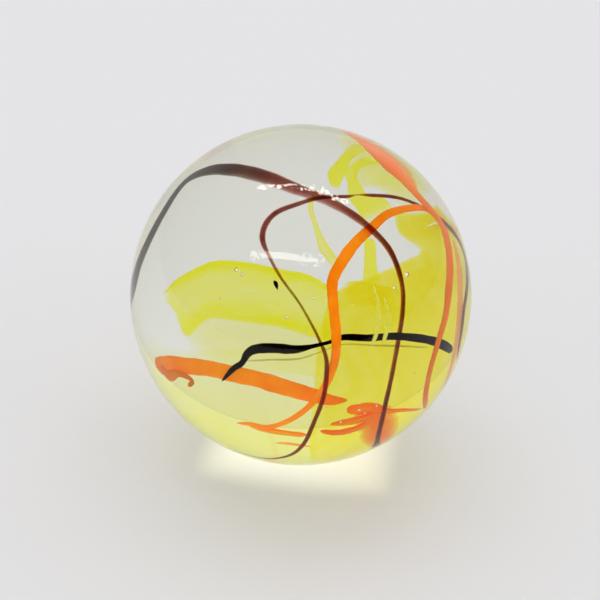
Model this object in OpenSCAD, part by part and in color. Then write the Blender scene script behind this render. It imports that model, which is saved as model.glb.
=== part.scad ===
// A handmade glass marble: a ball of clear glass with threads, ribbons and veils of coloured glass
// sealed inside it.
// The origin is the middle of the ball, +Z is up, and -Y is the front.
// Threads and ribbons lie in thin layers just under the surface, counted inwards from 0. Veils lie
// in the core, below the deepest layer.

/* [Ball] */
// Diameter of the ball
ball_d = 35; // [28:0.5:60]
// Clear glass over the outermost threads
skin_t = 0.3; // [0.15:0.05:1]
// Clear glass between one layer of threads and the next
layer_gap = 0.3; // [0.15:0.05:0.6]

/* [Aubergine threads] */
// Width of a drawn thread where it runs evenly
thread_w = 0.5; // [0.3:0.05:0.8]
// Thickness of a drawn thread
thread_t = 0.3; // [0.15:0.05:0.4]
// Width of the black band at its even stretch
band_w = 0.7; // [0.4:0.05:1]
// Thickness of the black band
band_t = 0.35; // [0.2:0.05:0.5]

/* [Orange ribbons] */
// Width of an orange ribbon at its even stretch
ribbon_w = 0.9; // [0.5:0.05:1.2]
// Thickness of an orange ribbon
ribbon_t = 0.3; // [0.15:0.05:0.5]
// Width of the soft orange cloud low on the right
cloud_w = 3.2; // [2:0.1:4]

/* [Yellow veils] */
// Thickness of a veil at its rolled rims
veil_rim = 0.7; // [0.4:0.05:0.9]
// Thickness of a veil in its middle
veil_thin = 0.25; // [0.15:0.05:0.4]

/* [Bubbles] */
// Diameter of the largest bubble
bubble_d = 0.5; // [0.2:0.05:0.6]

/* [Hidden] */

ball_r = ball_d / 2;
layers = 4;                                          // the deepest layer that holds a strand
strand_t = max(thread_t, band_t, ribbon_t);          // room that a layer needs
layer_pitch = strand_t + layer_gap;
first_layer_r = ball_r - skin_t - strand_t / 2;      // middle of layer 0
core_r = first_layer_r - layers * layer_pitch - strand_t / 2 - layer_gap;

ring_sides = 6;       // corners round a strand
rings_per_gap = 2;    // rings from one station of a strand to the next, unless it says another
veil_steps = 2;       // rings from one station of a veil to the next
veil_cuts = 4;        // strips across a veil
rim_power = 4;        // how tightly a veil's thickness gathers at its rims
bubble_fn = 16;

// --- Points and smooth runs ------------------------------------------------------------------

function unit(v) = v / norm(v);

// The direction from the middle of the ball at a longitude, 0 at the front and positive to the
// right, and a latitude, positive upwards.
function heading(lon, lat) = [cos(lat) * sin(lon), -cos(lat) * cos(lon), sin(lat)];

// Catmull-Rom curve through p1 and p2, with its neighbours p0 and p3, at t from 0 to 1.
function catmull(p0, p1, p2, p3, t) =
    0.5 * (2 * p1 + (p2 - p0) * t + (2 * p0 - 5 * p1 + 4 * p2 - p3) * t * t
           + (3 * p1 - p0 - 3 * p2 + p3) * t * t * t);

// The value of a list at s, counted in its items, on a smooth curve through all of them. Past each
// end the curve runs straight on.
function item(list, i) =
    i < 0 ? 2 * list[0] - list[1]
    : i >= len(list) ? 2 * list[len(list) - 1] - list[len(list) - 2]
    : list[i];
function along(list, s) =
    let (i = min(floor(s), len(list) - 2))
    catmull(item(list, i - 1), item(list, i), item(list, i + 1), item(list, i + 2), s - i);

// --- Closed skins through rings of points -----------------------------------------------------

// A closed solid through rings of equally many points. Corner j of a ring faces corner m - 1 - j
// across it, so each end is closed by a strip between the two sides.
module skin(rings) {
    n = len(rings);
    m = len(rings[0]);
    points = [for (ring = rings) each ring];
    walls = [for (i = [0:n - 2], j = [0:m - 1])
        let (k = (j + 1) % m, a = i * m, b = a + m)
        each [[a + j, b + j, b + k], [a + j, b + k, a + k]]];
    function cap(base, flip) = [for (j = [0:m / 2 - 2])
        let (p = base + j, q = base + j + 1, r = base + m - 2 - j, s = base + m - 1 - j)
        each flip ? [[p, r, q], if (r != q) [p, s, r]] : [[p, q, r], if (r != q) [p, r, s]]];
    polyhedron(points, concat(walls, cap(0, false), cap((n - 1) * m, true)), convexity = 10);
}

// A strand of glass drawn out over the ball. Each station is [longitude, latitude, layer, width as
// a share of w]. rings is the number of rings from one station to the next. The section is an
// ellipse, wrapped to lie concentric with the ball, and it is round where the strand is narrower
// than it is thick.
module strand(stations, w, t, rings = rings_per_gap) {
    headings = [for (s = stations) heading(s[0], s[1])];
    levels = [for (s = stations) s[2]];
    shares = [for (s = stations) s[3]];
    last = len(stations) - 1;
    count = last * rings;
    nudge = 0.1;
    skin([for (i = [0:count])
        let (
            s = i * last / count,
            out = unit(along(headings, s)),
            way = along(headings, s + nudge) - along(headings, s - nudge),
            side = unit(cross(out, way)),
            r = first_layer_r - along(levels, s) * layer_pitch,
            wide = max(along(shares, s), 0.1) * w,
            deep = min(t, wide)
        )
        [for (j = [0:ring_sides - 1])
            let (a = (j + 0.5) * 360 / ring_sides)
            unit(out * r + side * cos(a) * wide / 2) * (r + sin(a) * deep / 2)]]);
}

// A veil of glass between two edges in the core. Each station is [point on the first edge, point on
// the second edge], in hundredths of the core's radius along X, Y and Z. It is thick at its rolled
// rims, thin in its middle, and thins out at both ends. lift bows its middle along its own normal,
// in hundredths of the core's radius.
module veil(stations, lift = 0, rim = veil_rim, thin = veil_thin) {
    first = [for (s = stations) s[0] * core_r / 100];
    second = [for (s = stations) s[1] * core_r / 100];
    last = len(stations) - 1;
    count = last * veil_steps;
    nudge = 0.1;
    skin([for (i = [0:count])
        let (
            s = i * last / count,
            a = along(first, s),
            b = along(second, s),
            way = along(first, s + nudge) + along(second, s + nudge)
                - along(first, s - nudge) - along(second, s - nudge),
            normal = unit(cross(way, b - a)),
            fade = 0.35 + 0.65 * sin(180 * s / last),
            half = [for (k = [0:veil_cuts])
                let (v = k / veil_cuts)
                fade * (thin + (rim - thin) * pow(abs(2 * v - 1), rim_power)) / 2],
            mid = [for (k = [0:veil_cuts])
                let (v = k / veil_cuts)
                a + (b - a) * v + normal * lift * core_r / 100 * 4 * v * (1 - v)]
        )
        concat([for (k = [0:veil_cuts]) mid[k] - normal * half[k]],
               [for (k = [veil_cuts:-1:0]) mid[k] + normal * half[k]])]);
}

// --- Aubergine threads --------------------------------------------------------------------------

// The long thread: up over the left of the ball as a flat ribbon, over the top, and down the front.
module long_thread() color([0.30, 0.12, 0.13])
    strand([[-104, -22, 0, 1], [-92, -12, 0, 2.8], [-84, 0, 0, 4.6], [-79, 12, 0, 5],
            [-79, 20, 0, 4.4], [-80, 30, 0, 3.5], [-84, 39, 0, 3], [-93, 49, 0, 2.6],
            [-90, 58, 0, 3], [-74, 67, 0, 3.4], [-42, 72, 0, 3.3], [-5, 70, 0, 2.7],
            [18, 65, 0, 2.2], [31, 58, 0, 1.8], [38, 50, 0, 1.5], [41, 42, 0, 1.3],
            [40, 32, 0, 1.1], [37, 24, 0, 1.1], [33, 15, 0, 1.1], [30, 5, 0, 1.1],
            [28, -7, 0, 1.1], [28, -20, 0, 1.2], [30, -30, 0, 1.3], [32, -36, 0, 2.6]],
           thread_w, thread_t, rings = 1);

// The loop thread: from the right edge over the ball, round a loop at the left, down the front.
module loop_thread() color([0.28, 0.10, 0.12])
    strand([[65, -9, 0, 0.8], [65, -2, 0, 1.4], [69, 8, 0, 1.9], [77, 13, 0, 2.1],
            [84, 18, 0, 2.1], [87, 24, 0.5, 1.9], [86, 33, 1.6, 1.4], [82, 43, 2.2, 0.9],
            [74, 53, 2.2, 0.8], [57, 61, 1.6, 0.8], [46, 64, 1.3, 0.3], [36, 65, 1, 0.8],
            [15, 67, 1, 0.9], [-3, 65, 1, 1], [-16, 61, 0.6, 1.1], [-20, 56, 0.2, 1.2],
            [-19, 51, 0, 1.1], [-14, 46, 0, 0.7], [-8, 40, 0, 0.6], [-1, 33, 0, 0.6],
            [3, 27, 0, 0.6], [6, 21, 0, 0.7], [8, 15, 0, 0.9], [8, 9, 0, 1], [7, 1, 0, 0.9],
            [4, -10, 0, 0.9], [1, -21, 0, 0.9], [-4, -30, 0, 0.9], [-14, -37, 0, 0.8],
            [-23, -38, 0, 0.7], [-34, -38, 0, 0.6], [-46, -35, 0, 0.3]],
           thread_w, thread_t, rings = 1);

// The black band: a thick stroke across the front, with a hooked tip at its left.
module black_band() color([0.06, 0.04, 0.05])
    strand([[-27, 1, 2, 0.3], [-23, 7, 2, 0.8], [-20, 10, 2, 0.8], [-18, 14, 2, 1.1],
            [-15, 16, 2, 1.3], [-9, 17, 2, 1.4], [-2, 17, 2, 1.15], [4, 18, 2, 0.6],
            [10, 19, 2, 0.5], [15, 20, 2, 0.85], [24, 18, 2, 0.95], [33, 16, 2, 1],
            [42, 12, 2, 1.1], [50, 7, 2, 1.2], [57, 1, 2, 1.3], [62, -4, 2, 1.1]],
           band_w, band_t);

// The faint thread: a hair of olive glass that keeps beside the black band.
module faint_thread() color([0.50, 0.48, 0.20])
    strand([[-20, 10, 3, 0.3], [-11, 12, 3, 0.4], [-1, 13, 3, 0.4], [6, 15, 3, 0.3],
            [15, 17, 3, 0.3], [27, 14, 3, 0.4], [38, 10, 3, 0.4], [50, 4, 3, 0.3]],
           thread_w, thread_t, rings = 1);

// The speck: a dark grain beside the loop thread.
module dark_speck() color([0.10, 0.09, 0.05])
    strand([[-11, 39, 1, 0.5], [-10, 38, 1, 0.8], [-9, 36, 1, 0.2]],
           thread_w, thread_t);

// --- Orange ribbons -----------------------------------------------------------------------------

// The arch: from under the side ribbon, over to the middle and down to the low left.
module orange_arch() color([1.0, 0.45, 0.08])
    strand([[83, 38, 1, 0.6], [79, 44, 1, 0.75], [70, 49, 1, 0.8], [54, 53, 1, 0.9],
            [40, 52, 1, 1], [27, 49, 1, 1.15], [18, 44, 1, 1.2], [13, 39, 1, 1.15],
            [12, 33, 1, 1.05], [12, 27, 1, 1.05], [12, 21, 1, 1], [11, 13, 1, 0.9],
            [8, 5, 1, 0.8], [3, -3, 1, 0.7], [-4, -10, 1, 0.65], [-11, -14, 1, 0.65],
            [-17, -14, 1, 0.6], [-22, -15, 1, 0.25]],
           ribbon_w, ribbon_t);

// The side ribbon: from behind the top edge down the right of the front, broad where it comes over.
module orange_side() color([0.98, 0.48, 0.15])
    strand([[178, 38, 0, 0.3], [169, 48, 0, 0.5], [157, 57, 0, 0.8], [138, 64, 0, 1.8],
            [119, 63, 0, 3.6], [101, 59, 0, 5], [89, 54, 0, 3.6], [82, 50, 0, 1.6],
            [80, 43, 0, 1.35], [79, 36, 0, 1.4], [74, 31, 0, 1.5], [68, 26, 0, 1.5],
            [61, 20, 0, 1.4], [56, 14, 0, 1.2], [50, 7, 0, 1], [46, -2, 0, 0.9],
            [46, -12, 0, 0.85], [50, -22, 0, 0.8]],
           ribbon_w, ribbon_t);

// The hairline: a pale narrow ribbon beside the right edge.
module orange_hairline() color([0.95, 0.62, 0.38])
    strand([[82, 28, 1, 0.6], [77, 22, 1, 1.3], [71, 15, 1, 1.6], [66, 6, 1, 1.6],
            [63, -4, 1, 1.4], [62, -15, 1, 1], [63, -28, 1, 0.5]],
           ribbon_w, ribbon_t);

// The low ribbon: broad, from the low left edge towards the middle.
module orange_low() color([1.0, 0.48, 0.12])
    strand([[-60, -10, 3, 1.7], [-54, -6, 3, 2.2], [-45, -1, 3, 2], [-34, 3, 3, 1.85],
            [-24, 4, 3, 1.9], [-15, 4, 3, 1.95], [-6, 2, 3, 1.95], [3, -1, 3, 1.75],
            [10, -4, 3, 1.3], [16, -5, 3, 0.4]],
           ribbon_w, ribbon_t);

// The hook: a small curl in front of the left end of the low ribbon.
module orange_hook() color([0.98, 0.45, 0.12])
    strand([[-55, -6, 2, 0.9], [-51, -8, 2, 1.3], [-46, -4, 2, 0.9], [-41, -3, 2, 0.65],
            [-39, -4, 2, 0.55], [-41, -7, 2, 0.5]],
           ribbon_w, ribbon_t);

// The tail: a short run under the end of the arch.
module orange_tail() color([0.98, 0.50, 0.14])
    strand([[-19, -18, 3, 0.4], [-14, -19, 3, 0.9], [-6, -20, 3, 0.9], [2, -21, 3, 0.8]],
           ribbon_w, ribbon_t);

// The trace: a faint short line under the tail.
module orange_trace() color([0.93, 0.60, 0.35])
    strand([[-10, -27, 3, 0.2], [-4, -27, 3, 0.45], [4, -29, 3, 0.2]],
           ribbon_w, ribbon_t);

// The knot: a gathered clump low in the front, in two strokes, with a fine end to the right.
module orange_knot() color([1.0, 0.45, 0.10])
    strand([[16, -9, 3, 0.9], [19, -10, 3, 1.5], [24, -11, 3, 1.6], [28, -13, 3, 1.2],
            [33, -16, 3, 0.65], [40, -19, 3, 0.5], [53, -26, 3, 0.2]],
           ribbon_w, ribbon_t);
module orange_knot_low() color([1.0, 0.50, 0.14])
    strand([[7, -19, 3, 0.6], [13, -21, 3, 1], [18, -21, 3, 1.1], [22, -20, 3, 1],
            [24, -18, 3, 0.6]],
           ribbon_w, ribbon_t);

// The arc: a third stroke of the knot, in front of the other two.
module orange_knot_arc() color([1.0, 0.50, 0.14])
    strand([[10, -14, 2, 0.4], [15, -14, 2, 1.1], [20, -14, 2, 1.1], [25, -13, 2, 0.5]],
           ribbon_w, ribbon_t);

// The cloud: a broad soft patch behind the knot.
module orange_cloud() color([0.96, 0.62, 0.25])
    strand([[22, -12, 4, 0.6], [25, -16, 4, 1], [30, -22, 4, 1.2], [34, -31, 4, 1.2],
            [42, -43, 4, 0.7]],
           cloud_w, ribbon_t);

// --- Yellow veils -------------------------------------------------------------------------------

// The lobe: a flag across the left of the core, from a pointed tip to the middle.
module yellow_lobe() color([0.88, 0.84, 0.15])
    veil([[[-74, -8, 4], [-72, -8, 2]], [[-70, -14, 18], [-66, -12, -2]],
          [[-62, -20, 30], [-58, -14, -16]], [[-48, -24, 40], [-48, -16, -4]],
          [[-32, -28, 42], [-36, -20, -2]], [[-18, -30, 40], [-24, -20, -4]],
          [[-8, -28, 36], [-12, -20, -6]], [[4, -24, 30], [2, -18, -12]],
          [[16, -22, 20], [16, -16, -18]]], lift = 5);

// The skirt: a thin leaf below the lobe.
module yellow_skirt() color([0.88, 0.86, 0.45])
    veil([[[-60, 2, -10], [-56, 0, -24]], [[-50, 0, -12], [-50, 0, -32]],
          [[-36, -4, -10], [-36, -2, -38]], [[-24, -4, -10], [-24, -4, -40]],
          [[-10, -4, -10], [-10, -4, -42]], [[0, -6, -12], [0, -6, -42]],
          [[10, -10, -12], [10, -12, -40]]], rim = veil_thin);

// The heart: the main mass, from the upper right down through the right of the core.
module yellow_heart() color([0.85, 0.82, 0.12])
    veil([[[44, 40, 24], [58, 54, 10]], [[50, 30, 14], [60, 58, -10]],
          [[56, 28, 6], [76, 50, -14]], [[48, 24, 2], [76, 46, -22]],
          [[36, 20, -2], [76, 44, -28]], [[24, 14, -4], [76, 38, -36]],
          [[14, 12, -10], [74, 34, -44]], [[8, 6, -30], [66, 24, -60]],
          [[6, 0, -50], [56, 16, -72]], [[5, -10, -60], [46, 8, -80]],
          [[4, -16, -70], [30, -2, -87]], [[4, -12, -80], [12, -8, -91]]], lift = 6);

// The fold: a second thickness in front of the heart.
module yellow_fold() color([0.80, 0.76, 0.10])
    veil([[[22, -12, 16], [22, -14, 4]], [[30, -10, 16], [30, -14, 2]],
          [[38, -8, 12], [38, -10, -4]], [[44, -4, 8], [44, -8, -10]],
          [[50, 0, 2], [50, -2, -12]]], lift = 2);

// The tooth: a short upright wisp above the fold.
module yellow_tooth() color([0.86, 0.84, 0.15])
    veil([[[34, -4, 40], [38, -2, 38]], [[34, -8, 38], [40, -6, 36]],
          [[34, -12, 32], [40, -10, 28]], [[33, -14, 24], [41, -12, 22]],
          [[32, -15, 16], [41, -12, 14]]], rim = veil_thin);

// The curl: a loop high on the right, and its inner turn.
module yellow_curl() color([0.86, 0.86, 0.25])
    veil([[[34, 64, 52], [38, 54, 54]], [[28, 44, 68], [32, 40, 64]],
          [[24, 32, 74], [28, 30, 70]], [[20, 20, 78], [26, 20, 72]],
          [[16, 12, 78], [24, 12, 72]], [[16, 6, 76], [22, 8, 70]],
          [[18, 0, 74], [22, 4, 70]]], rim = veil_thin);
module yellow_inner_curl() color([0.86, 0.84, 0.18])
    veil([[[46, 56, 40], [46, 50, 42]], [[42, 50, 48], [42, 44, 50]],
          [[36, 44, 56], [36, 38, 56]], [[30, 36, 62], [31, 30, 60]],
          [[24, 26, 62], [30, 24, 60]], [[25, 18, 60], [32, 20, 58]],
          [[26, 10, 56], [36, 16, 54]], [[30, 6, 52], [44, 18, 50]],
          [[34, 0, 46], [50, 16, 42]]], rim = veil_thin);

// The shoulder: a pale leaf high on the right, behind the curl.
module yellow_shoulder() color([0.88, 0.87, 0.50])
    veil([[[16, 66, 40], [12, 84, 28]], [[24, 48, 42], [32, 84, 20]], [[26, 48, 28], [42, 82, 7]],
          [[32, 60, 14], [42, 82, -8]], [[40, 68, -6], [40, 82, -20]]], rim = veil_thin);

// The wisp: a faint streak down the middle.
module yellow_wisp() color([0.88, 0.88, 0.45])
    veil([[[10, 2, 72], [12, 2, 72]], [[5, -4, 70], [8, -4, 70]], [[4, -10, 66], [7, -10, 66]],
          [[6, -16, 62], [9, -16, 62]], [[8, -20, 56], [11, -18, 56]],
          [[10, -24, 48], [15, -22, 50]], [[14, -26, 42], [19, -24, 44]],
          [[18, -28, 36], [23, -26, 38]]], rim = veil_thin);

// The wash: a pale bowl low in the back of the core.
module yellow_wash() color([0.90, 0.90, 0.60])
    veil([[[-70, 8, -28], [-74, 32, -40]], [[-60, 14, -38], [-70, 26, -54]],
          [[-46, 18, -42], [-62, 20, -66]], [[-32, 26, -46], [-48, 12, -78]],
          [[-16, 34, -50], [-34, 6, -86]], [[-4, 40, -54], [-18, 4, -90]],
          [[8, 48, -58], [4, 8, -92]]], lift = -4, rim = veil_thin);

// The streaks: two fine lemon lines that cross in front of the black band.
module yellow_streak() color([0.86, 0.86, 0.35])
    strand([[29, 35, 1, 0.4], [29, 29, 1, 0.6], [28, 24, 1, 0.8], [26, 19, 1, 0.8],
            [22, 14, 1, 0.5]],
           thread_w, thread_t);
module yellow_streak_right() color([0.86, 0.86, 0.35])
    strand([[32, 30, 1, 0.4], [32, 24, 1, 0.7], [30, 19, 1, 0.9], [27, 13, 1, 0.5]],
           thread_w, thread_t);

// --- The ball ------------------------------------------------------------------------------------

// Bubbles caught in the glass: [longitude, latitude, depth as a share of the radius, size as a
// share of the largest].
module bubbles()
    for (b = [[-27, 40, 0.02, 0.8], [-24, 39, 0.02, 0.6], [-30, 30, 0.02, 0.5],
              [-5, 28, 0.02, 0.6], [5, 34, 0.02, 0.5], [47, 33, 0.1, 1], [39, 31, 0.1, 0.7],
              [19, -7, 0.02, 0.6], [25, -7, 0.02, 0.45], [8, -3, 0.02, 0.45], [39, 1, 0.02, 0.5],
              [13, -11, 0.02, 0.5], [17, -18, 0.02, 0.4], [21, -9, 0.02, 0.4]])
        translate(heading(b[0], b[1]) * (ball_r * (1 - b[2]) - skin_t))
            sphere(d = bubble_d * b[3], $fn = bubble_fn);

// Clear glass fills all that the coloured glass and the bubbles leave.
module clear_ball() color([0.90, 0.91, 0.86, 0.35])
    difference() {
        sphere(d = ball_d, $fn = 96);
        long_thread();
        loop_thread();
        black_band();
        faint_thread();
        dark_speck();
        orange_arch();
        orange_side();
        orange_hairline();
        orange_low();
        orange_hook();
        orange_tail();
        orange_trace();
        orange_knot();
        orange_knot_low();
        orange_knot_arc();
        orange_cloud();
        yellow_lobe();
        yellow_skirt();
        yellow_heart();
        yellow_fold();
        yellow_tooth();
        yellow_curl();
        yellow_inner_curl();
        yellow_shoulder();
        yellow_wisp();
        yellow_wash();
        yellow_streak();
        yellow_streak_right();
        bubbles();
    }

clear_ball();
long_thread();
loop_thread();
black_band();
faint_thread();
dark_speck();
orange_arch();
orange_side();
orange_hairline();
orange_low();
orange_hook();
orange_tail();
orange_trace();
orange_knot();
orange_knot_low();
orange_knot_arc();
orange_cloud();
yellow_lobe();
yellow_skirt();
yellow_heart();
yellow_fold();
yellow_tooth();
yellow_curl();
yellow_inner_curl();
yellow_shoulder();
yellow_wisp();
yellow_wash();
yellow_streak();
yellow_streak_right();
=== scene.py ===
# %% [markdown]
# # A glass marble
#
# The object is one ball of clear glass. Threads, ribbons and veils of coloured glass were laid on and
# folded in while it was hot, so nothing in it comes apart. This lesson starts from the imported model,
# which already holds every piece at its real size, and gives each one the finish of real glass.

# %% Load the frame
import math

import bpy
import numpy as np
from mathutils import Matrix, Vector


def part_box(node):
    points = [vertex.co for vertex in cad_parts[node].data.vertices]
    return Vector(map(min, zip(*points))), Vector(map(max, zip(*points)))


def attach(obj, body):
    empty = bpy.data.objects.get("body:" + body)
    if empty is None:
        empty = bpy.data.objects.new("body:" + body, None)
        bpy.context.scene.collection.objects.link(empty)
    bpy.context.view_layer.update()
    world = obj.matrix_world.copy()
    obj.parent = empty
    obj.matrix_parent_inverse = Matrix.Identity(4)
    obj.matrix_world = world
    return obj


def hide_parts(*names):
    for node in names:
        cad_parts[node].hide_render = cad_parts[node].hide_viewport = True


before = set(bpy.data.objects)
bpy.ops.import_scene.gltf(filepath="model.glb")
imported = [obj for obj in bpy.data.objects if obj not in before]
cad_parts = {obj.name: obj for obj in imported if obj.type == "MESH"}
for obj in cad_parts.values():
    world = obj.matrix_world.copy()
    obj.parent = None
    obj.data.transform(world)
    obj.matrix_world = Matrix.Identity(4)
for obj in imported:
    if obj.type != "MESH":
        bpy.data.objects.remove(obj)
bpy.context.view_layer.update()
print("pieces in the model:", len(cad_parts))

# %% [markdown]
# ## Sizes
#
# The ball's radius is read from its own solid. Everything else in the glass is placed from it: the
# outer pieces lie in thin layers under the surface, and the veils in the core below the layers. The
# clearances are those of the solids.

# %% Sizes, in metres
MM = 0.001
low, high = (np.array(corner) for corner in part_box("clear_ball"))
ball_r = float((high - low).max() / 2)

skin_t = 0.3 * MM
layer_gap = 0.3 * MM
strand_t = 0.35 * MM
layer_count = 4
layer_pitch = strand_t + layer_gap
first_layer_r = ball_r - skin_t - strand_t / 2
core_r = first_layer_r - layer_count * layer_pitch - strand_t / 2 - layer_gap

thread_w, thread_t = 0.5 * MM, 0.3 * MM
band_w, band_t = 0.7 * MM, 0.35 * MM
ribbon_w, ribbon_t = 0.9 * MM, 0.3 * MM
cloud_w = 3.2 * MM
streak_w = 1.3 * thread_w
bubble_d = 0.5 * MM
print(f"ball {2000 * ball_r:.1f} mm, core {2000 * core_r:.1f} mm")

# %% [markdown]
# ## The camera
#
# The ball is seen from the front and well above the table. A long lens keeps it round. How far away
# the camera stands follows from how much of the picture the ball fills.

# %% Camera
camera_elevation = math.radians(35)
ball_share = 0.5693  # of the picture's width
lens, sensor = 85, 36
shift_x, shift_y = -0.0015, -0.0087  # the ball sits a little right of the middle and above it

half_angle = math.atan(ball_share * sensor / 2 / lens)
camera_distance = ball_r / math.sin(half_angle)
camera_data = bpy.data.cameras.new("camera")
camera_data.lens = lens
camera_data.sensor_width = sensor
camera_data.shift_x = shift_x
camera_data.shift_y = shift_y
camera_data.clip_start = 0.005
camera = bpy.data.objects.new("camera", camera_data)
camera.location = (
    0,
    -camera_distance * math.cos(camera_elevation),
    camera_distance * math.sin(camera_elevation),
)
camera.rotation_euler = (math.pi / 2 - camera_elevation, 0, 0)
bpy.context.collection.objects.link(camera)
bpy.context.scene.camera = camera
print(f"camera at {camera_distance * 1000:.0f} mm")

# %% [markdown]
# ## Shader helpers
#
# A material is a small graph of nodes. These helpers keep each graph readable: one makes a node and
# sets its sockets, three make the small sums between nodes, and one starts an empty material.

# %% Shader helpers
def add_node(tree, kind, **sockets):
    """A new node of that kind, with the named sockets set. A value that is an output is linked."""
    made = tree.nodes.new(kind)
    for name, value in sockets.items():
        socket = made.inputs[name.replace("_", " ")]
        if isinstance(value, bpy.types.NodeSocket):
            tree.links.new(value, socket)
        else:
            socket.default_value = value
    return made


def mapped(tree, value, start, end, low=0.0, high=1.0):
    """low + (high - low) (value - start) / (end - start), held between low and high."""
    made = add_node(tree, "ShaderNodeMapRange", Value=value, From_Min=start, From_Max=end, To_Min=low,
                    To_Max=high)
    return made.outputs[0]


def number_math(tree, operation, first, second):
    """The sum, product or other named result of two outputs that are numbers."""
    made = add_node(tree, "ShaderNodeMath", Value=first)
    made.operation = operation
    tree.links.new(second, made.inputs[1])
    return made.outputs[0]


def vector_math(tree, operation, first, second=None):
    """The node of a vector operation. second is an output or three constant numbers."""
    made = add_node(tree, "ShaderNodeVectorMath")
    made.operation = operation
    tree.links.new(first, made.inputs[0])
    if isinstance(second, bpy.types.NodeSocket):
        tree.links.new(second, made.inputs[1])
    elif second is not None:
        made.inputs[1].default_value = second
    return made


def new_material(name):
    """An empty material, with its node tree and its output node."""
    material = bpy.data.materials.new(name)
    material.use_nodes = True
    material.node_tree.nodes.clear()
    output = material.node_tree.nodes.new("ShaderNodeOutputMaterial")
    return material, material.node_tree, output


# %% [markdown]
# ## Floor
#
# The marble stands on a plain white sweep. One large square does for it, as it runs out of view long
# before its edges. It needs no gloss, so its shader is plain Diffuse.

# %% Floor
floor_size = 6.0
floor_grey = (0.785, 0.782, 0.80, 1)


def make_floor():
    """A square sheet under the ball's lowest point."""
    half = floor_size / 2
    corners = [(x, y, -ball_r) for x, y in ((-half, -half), (half, -half), (half, half), (-half, half))]
    mesh = bpy.data.meshes.new("floor")
    mesh.from_pydata(corners, [], [(0, 1, 2, 3)])
    floor = bpy.data.objects.new("floor", mesh)
    bpy.context.collection.objects.link(floor)
    material, tree, output = new_material("white_sweep")
    surface = add_node(tree, "ShaderNodeBsdfDiffuse", Color=floor_grey)
    tree.links.new(surface.outputs[0], output.inputs["Surface"])
    mesh.materials.append(material)


make_floor()
print(f"floor {floor_size:.0f} m wide, {1000 * ball_r:.1f} mm below the ball's middle")

# %% [markdown]
# ## The light tent
#
# Glass shows its surroundings more than itself, so the marble stands in a light tent: pale cloth all
# round it and a darker opening at the front. A Light Path node tells the world what kind of ray is
# asking. So the cloth has one strength as a light, another where the eye sees it, straight or through
# the glass, and a third where the polish mirrors it.

# %% World
opening_lift = math.radians(15)  # the middle of the opening, above the horizon
opening_inside, opening_outside = math.radians(20), math.radians(60)  # from its middle


def make_world(light, seen, mirrored, opening):
    """The inside of the tent. light is its strength as a light. seen are its strengths at the horizon
    and high up where it is looked at. mirrored are its strengths from the sides forward and at the
    back where polish mirrors it. All sink smoothly to the share opening from the opening's outer
    angle to its inner angle."""
    world = bpy.data.worlds.new("light_tent")
    world.use_nodes = True
    tree = world.node_tree
    background = tree.nodes["Background"]
    background.inputs["Color"].default_value = (1, 1, 1, 1)
    ray = tree.nodes.new("ShaderNodeLightPath")
    way = tree.nodes.new("ShaderNodeTexCoord").outputs["Generated"]
    split = tree.nodes.new("ShaderNodeSeparateXYZ")
    tree.links.new(way, split.inputs[0])
    cloth_seen = mapped(tree, split.outputs["Z"], 0.0, 0.7, *seen)
    cloth_mirrored = mapped(tree, split.outputs["Y"], 0.2, 1.0, *mirrored)
    strength = mapped(tree, ray.outputs["Is Glossy Ray"], 0.0, 1.0, light, cloth_mirrored)
    for kind in ("Is Transmission Ray", "Is Camera Ray"):
        strength = mapped(tree, ray.outputs[kind], 0.0, 1.0, strength, cloth_seen)

    middle = (0, -math.cos(opening_lift), math.sin(opening_lift))
    nearness = vector_math(tree, "DOT_PRODUCT", way, middle).outputs["Value"]
    share = mapped(tree, nearness, math.cos(opening_outside), math.cos(opening_inside), 1.0, opening)
    share.node.interpolation_type = "SMOOTHSTEP"
    level = number_math(tree, "MULTIPLY", strength, share)
    tree.links.new(level, background.inputs["Strength"])
    bpy.context.scene.world = world


make_world(light=0.98, seen=(0.87, 1.0), mirrored=(0.10, 0.95), opening=0.25)
print("world:", bpy.context.scene.world.name)

# %% [markdown]
# ## Lamps
#
# Two long narrow lamps give the two streaks on the ball's upper half: one stands behind the top, the
# other in front of it. They are there for the polish alone, so they are hidden from the floor and
# from light that passes through the glass. The third lamp is broad and soft, and hidden from the
# polish. The ball gathers it as a lens does, into the bright patch on the floor at its foot. All three
# are area lamps, whose edges are as sharp in a mirror as those of real strip lights.

# %% Lamps
def make_lamp(name, left, right, depth, brightness):
    """A long flat lamp from one end point to the other, facing the ball. Its power is its brightness
    times pi times its area."""
    left, right = np.array(left), np.array(right)
    place = (left + right) / 2
    length = float(np.linalg.norm(right - left))
    x_axis = (right - left) / length
    y_axis = np.cross(place, x_axis)
    y_axis = y_axis / np.linalg.norm(y_axis)
    z_axis = np.cross(x_axis, y_axis)
    data = bpy.data.lights.new(name, "AREA")
    data.shape = "RECTANGLE"
    data.size, data.size_y = length, depth
    data.energy = brightness * math.pi * length * depth
    lamp = bpy.data.objects.new(name, data)
    lamp.location = place
    lamp.rotation_euler = Matrix(np.stack([x_axis, y_axis, z_axis], 1).tolist()).to_euler()
    bpy.context.collection.objects.link(lamp)
    print(f"{name}: {length:.2f} by {depth:.3f} m, {data.energy:.2f} W")
    return lamp


front_strip = make_lamp("front_strip", left=(-0.307, -0.228, 0.462), right=(0.148, -0.327, 0.481),
                        depth=0.040, brightness=11)
back_strip = make_lamp("back_strip", left=(-0.222, 0.226, 0.513), right=(0.262, 0.110, 0.520),
                       depth=0.015, brightness=30)
for strip in (front_strip, back_strip):
    strip.visible_transmission = False
    strip.visible_diffuse = False
overhead = make_lamp("overhead", left=(-0.31, 0.20, 0.6), right=(0.31, 0.09, 0.6), depth=0.32,
                     brightness=0.95)
overhead.visible_glossy = False

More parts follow.
